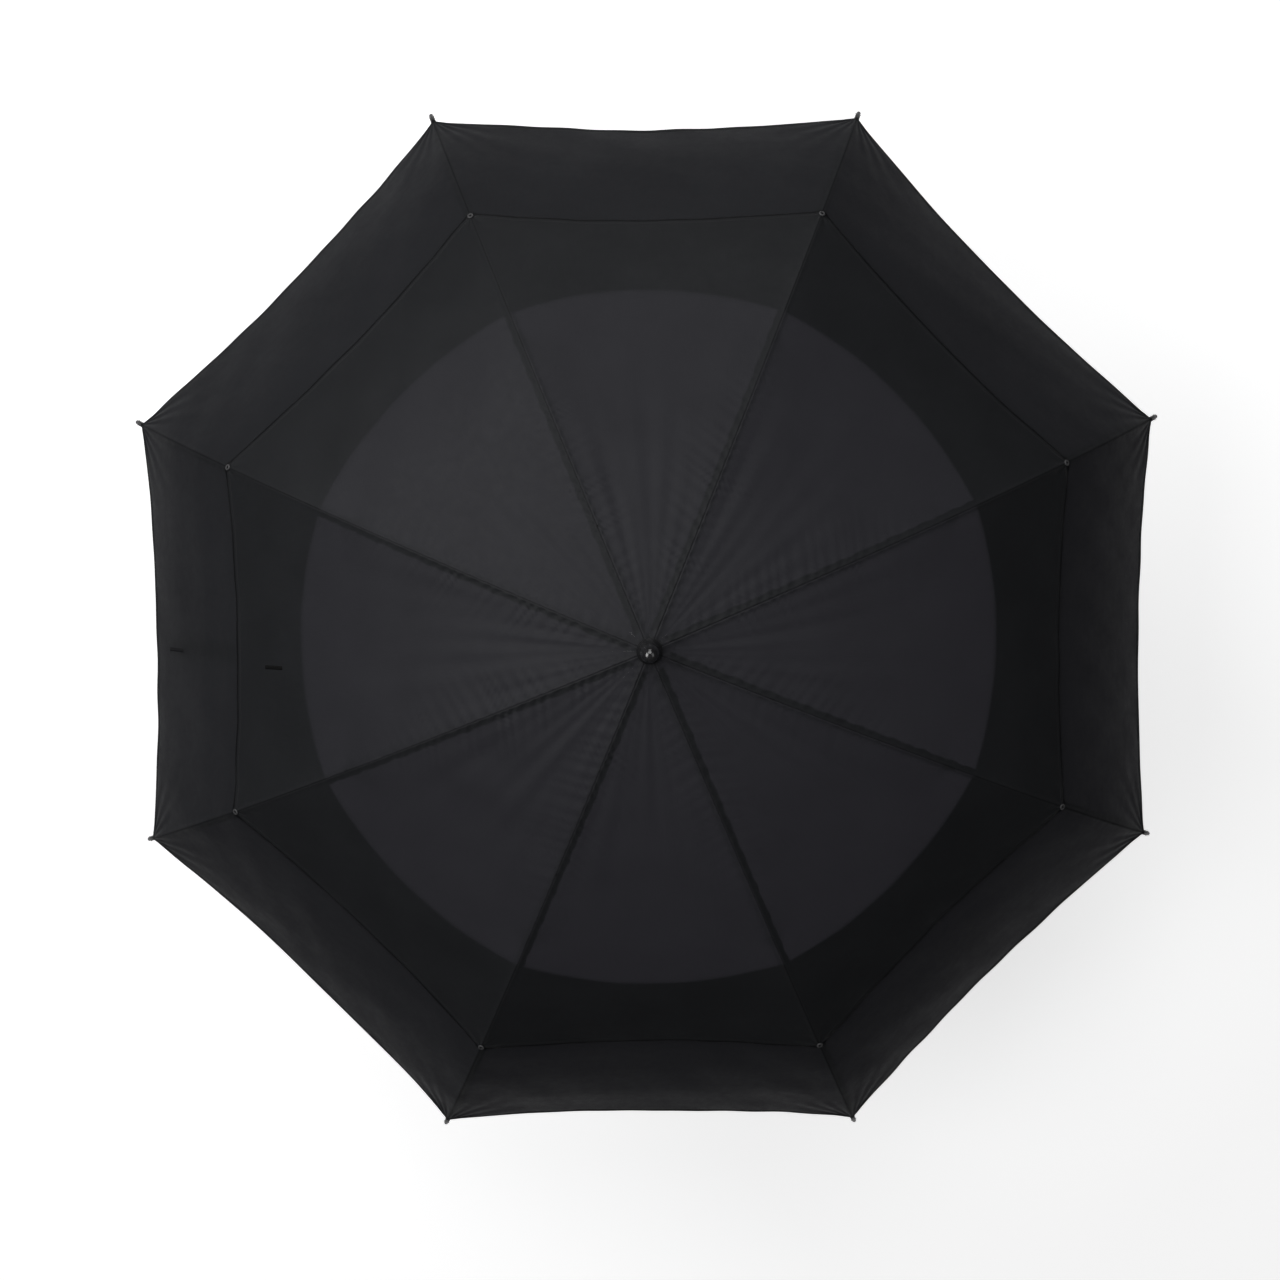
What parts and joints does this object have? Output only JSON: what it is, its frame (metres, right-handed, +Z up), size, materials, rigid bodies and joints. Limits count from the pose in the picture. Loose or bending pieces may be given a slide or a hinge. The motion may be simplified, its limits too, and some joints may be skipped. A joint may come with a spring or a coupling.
{
  "type": "golf umbrella",
  "caption": "Large open golf umbrella with a vented double canopy, folding ribs and stretchers, sliding runner, straight shaft and foam grip.",
  "frame": {"origin": "middle of the handle's bottom face, on the shaft's axis, which is the bottom centre of the bounding box", "axes": "+Z up along the shaft to the ferrule; +X midway between rib 8 and rib 1"},
  "size_m": [1.2244, 1.2244, 1.0049],
  "materials": {
    "canopy_cloth": "plain-weave polyester pongee, black, slight sheen",
    "strap_cloth": "the canopy cloth folded double and stitched",
    "rib_rod": "pultruded fibreglass, semi-gloss black",
    "shaft_tube": "fibreglass tube, semi-gloss black",
    "stamped_steel": "stamped steel, black electroplate",
    "spring_steel": "spring steel strip, zinc plated",
    "wire_steel": "drawn steel wire",
    "moulded_plastic": "injection-moulded nylon, satin black",
    "ferrule_plastic": "moulded, high-gloss black",
    "tip_plastic": "injection-moulded nylon, black",
    "grip_foam": "closed-cell foam, fine matt grain"
  },
  "bodies": {
    "stem": {"shaft": "shaft_tube", "notch": "moulded_plastic", "notch_wire": "wire_steel", "ferrule": "ferrule_plastic", "handle_core": "moulded_plastic", "grip": "grip_foam", "end_cap": "moulded_plastic"},
    "rib_1_body": {"rib_1": "rib_rod", "rib_fittings_1": "stamped_steel", "rib_tip_1": "tip_plastic", "upper_canopy_1": "canopy_cloth", "lower_canopy_1": "canopy_cloth"},
    "stretcher_1_body": {"stretcher_1": "stamped_steel"},
    "rib_2_body": {"rib_2": "rib_rod", "rib_fittings_2": "stamped_steel", "rib_tip_2": "tip_plastic", "upper_canopy_2": "canopy_cloth", "lower_canopy_2": "canopy_cloth"},
    "stretcher_2_body": {"stretcher_2": "stamped_steel"},
    "rib_3_body": {"rib_3": "rib_rod", "rib_fittings_3": "stamped_steel", "rib_tip_3": "tip_plastic", "upper_canopy_3": "canopy_cloth", "lower_canopy_3": "canopy_cloth"},
    "stretcher_3_body": {"stretcher_3": "stamped_steel"},
    "rib_4_body": {"rib_4": "rib_rod", "rib_fittings_4": "stamped_steel", "rib_tip_4": "tip_plastic", "upper_canopy_4": "canopy_cloth", "lower_canopy_4": "canopy_cloth"},
    "stretcher_4_body": {"stretcher_4": "stamped_steel"},
    "rib_5_body": {"rib_5": "rib_rod", "rib_fittings_5": "stamped_steel", "rib_tip_5": "tip_plastic", "upper_canopy_5": "canopy_cloth", "lower_canopy_5": "canopy_cloth", "closing_strap": "strap_cloth"},
    "stretcher_5_body": {"stretcher_5": "stamped_steel"},
    "rib_6_body": {"rib_6": "rib_rod", "rib_fittings_6": "stamped_steel", "rib_tip_6": "tip_plastic", "upper_canopy_6": "canopy_cloth", "lower_canopy_6": "canopy_cloth"},
    "stretcher_6_body": {"stretcher_6": "stamped_steel"},
    "rib_7_body": {"rib_7": "rib_rod", "rib_fittings_7": "stamped_steel", "rib_tip_7": "tip_plastic", "upper_canopy_7": "canopy_cloth", "lower_canopy_7": "canopy_cloth"},
    "stretcher_7_body": {"stretcher_7": "stamped_steel"},
    "rib_8_body": {"rib_8": "rib_rod", "rib_fittings_8": "stamped_steel", "rib_tip_8": "tip_plastic", "upper_canopy_8": "canopy_cloth", "lower_canopy_8": "canopy_cloth"},
    "stretcher_8_body": {"stretcher_8": "stamped_steel"},
    "runner_body": {"runner": "moulded_plastic", "runner_wire": "wire_steel"},
    "top_catch_body": {"top_catch": "spring_steel"},
    "bottom_catch_body": {"bottom_catch": "spring_steel"}
  },
  "joints": [
    {"name": "rib_1_fold", "type": "hinge", "parent": "stem", "child": "rib_1_body", "pos_m": [0.01016, 0.00421, 0.945], "axis": [-0.3827, 0.9239, 0], "range_deg": [0, 61], "deforming": ["upper_canopy_1", "lower_canopy_1", "top_catch", "bottom_catch"]},
    {"name": "rib_2_fold", "type": "hinge", "parent": "stem", "child": "rib_2_body", "pos_m": [0.00421, 0.01016, 0.945], "axis": [-0.9239, 0.3827, 0], "range_deg": [0, 61], "deforming": ["upper_canopy_2", "lower_canopy_2"]},
    {"name": "rib_3_fold", "type": "hinge", "parent": "stem", "child": "rib_3_body", "pos_m": [-0.00421, 0.01016, 0.945], "axis": [-0.9239, -0.3827, 0], "range_deg": [0, 61], "deforming": ["upper_canopy_3", "lower_canopy_3"]},
    {"name": "rib_4_fold", "type": "hinge", "parent": "stem", "child": "rib_4_body", "pos_m": [-0.01016, 0.00421, 0.945], "axis": [-0.3827, -0.9239, 0], "range_deg": [0, 61], "deforming": ["upper_canopy_4", "lower_canopy_4"]},
    {"name": "rib_5_fold", "type": "hinge", "parent": "stem", "child": "rib_5_body", "pos_m": [-0.01016, -0.00421, 0.945], "axis": [0.3827, -0.9239, 0], "range_deg": [0, 61], "deforming": ["upper_canopy_5", "lower_canopy_5", "closing_strap"]},
    {"name": "rib_6_fold", "type": "hinge", "parent": "stem", "child": "rib_6_body", "pos_m": [-0.00421, -0.01016, 0.945], "axis": [0.9239, -0.3827, 0], "range_deg": [0, 61], "deforming": ["upper_canopy_6", "lower_canopy_6"]},
    {"name": "rib_7_fold", "type": "hinge", "parent": "stem", "child": "rib_7_body", "pos_m": [0.00421, -0.01016, 0.945], "axis": [0.9239, 0.3827, 0], "range_deg": [0, 61], "deforming": ["upper_canopy_7", "lower_canopy_7"]},
    {"name": "rib_8_fold", "type": "hinge", "parent": "stem", "child": "rib_8_body", "pos_m": [0.01016, -0.00421, 0.945], "axis": [0.3827, 0.9239, 0], "range_deg": [0, 61], "deforming": ["upper_canopy_8", "lower_canopy_8"]},
    {"name": "stretcher_1_fold", "type": "hinge", "parent": "rib_1_body", "child": "stretcher_1_body", "pos_m": [0.30545, 0.12652, 0.84634], "axis": [-0.3827, 0.9239, 0], "range_deg": [-122, 0]},
    {"name": "stretcher_2_fold", "type": "hinge", "parent": "rib_2_body", "child": "stretcher_2_body", "pos_m": [0.12652, 0.30545, 0.84634], "axis": [-0.9239, 0.3827, 0], "range_deg": [-122, 0]},
    {"name": "stretcher_3_fold", "type": "hinge", "parent": "rib_3_body", "child": "stretcher_3_body", "pos_m": [-0.12652, 0.30545, 0.84634], "axis": [-0.9239, -0.3827, 0], "range_deg": [-122, 0]},
    {"name": "stretcher_4_fold", "type": "hinge", "parent": "rib_4_body", "child": "stretcher_4_body", "pos_m": [-0.30545, 0.12652, 0.84634], "axis": [-0.3827, -0.9239, 0], "range_deg": [-122, 0]},
    {"name": "stretcher_5_fold", "type": "hinge", "parent": "rib_5_body", "child": "stretcher_5_body", "pos_m": [-0.30545, -0.12652, 0.84634], "axis": [0.3827, -0.9239, 0], "range_deg": [-122, 0]},
    {"name": "stretcher_6_fold", "type": "hinge", "parent": "rib_6_body", "child": "stretcher_6_body", "pos_m": [-0.12652, -0.30545, 0.84634], "axis": [0.9239, -0.3827, 0], "range_deg": [-122, 0]},
    {"name": "stretcher_7_fold", "type": "hinge", "parent": "rib_7_body", "child": "stretcher_7_body", "pos_m": [0.12652, -0.30545, 0.84634], "axis": [0.9239, 0.3827, 0], "range_deg": [-122, 0]},
    {"name": "stretcher_8_fold", "type": "hinge", "parent": "rib_8_body", "child": "stretcher_8_body", "pos_m": [0.30545, -0.12652, 0.84634], "axis": [0.3827, 0.9239, 0], "range_deg": [-122, 0]},
    {"name": "runner_slide_pivot", "type": "hinge", "parent": "stretcher_1_body", "child": "runner_body", "pos_m": [0.01016, 0.00421, 0.74768], "axis": [-0.3827, 0.9239, 0], "range_deg": [0, 61]},
    {"name": "top_catch_press", "type": "hinge", "parent": "stem", "child": "top_catch_body", "pos_m": [0.0045, 0, 0.62308], "axis": [0, -1, 0], "range_deg": [0, 3.5], "stiffness_Nm_per_rad": 4, "springref_deg": -1.15},
    {"name": "bottom_catch_press", "type": "hinge", "parent": "stem", "child": "bottom_catch_body", "pos_m": [0.0045, 0, 0.29425], "axis": [0, 1, 0], "range_deg": [0, 3.5], "stiffness_Nm_per_rad": 4, "springref_deg": -1.15}
  ],
  "couplings": [
    {"joint": "rib_2_fold", "follows": "rib_1_fold", "ratio": 1},
    {"joint": "rib_3_fold", "follows": "rib_1_fold", "ratio": 1},
    {"joint": "rib_4_fold", "follows": "rib_1_fold", "ratio": 1},
    {"joint": "rib_5_fold", "follows": "rib_1_fold", "ratio": 1},
    {"joint": "rib_6_fold", "follows": "rib_1_fold", "ratio": 1},
    {"joint": "rib_7_fold", "follows": "rib_1_fold", "ratio": 1},
    {"joint": "rib_8_fold", "follows": "rib_1_fold", "ratio": 1},
    {"joint": "stretcher_1_fold", "follows": "rib_1_fold", "ratio": -2},
    {"joint": "stretcher_2_fold", "follows": "rib_1_fold", "ratio": -2},
    {"joint": "stretcher_3_fold", "follows": "rib_1_fold", "ratio": -2},
    {"joint": "stretcher_4_fold", "follows": "rib_1_fold", "ratio": -2},
    {"joint": "stretcher_5_fold", "follows": "rib_1_fold", "ratio": -2},
    {"joint": "stretcher_6_fold", "follows": "rib_1_fold", "ratio": -2},
    {"joint": "stretcher_7_fold", "follows": "rib_1_fold", "ratio": -2},
    {"joint": "stretcher_8_fold", "follows": "rib_1_fold", "ratio": -2},
    {"joint": "runner_slide_pivot", "follows": "rib_1_fold", "ratio": 1}
  ]
}
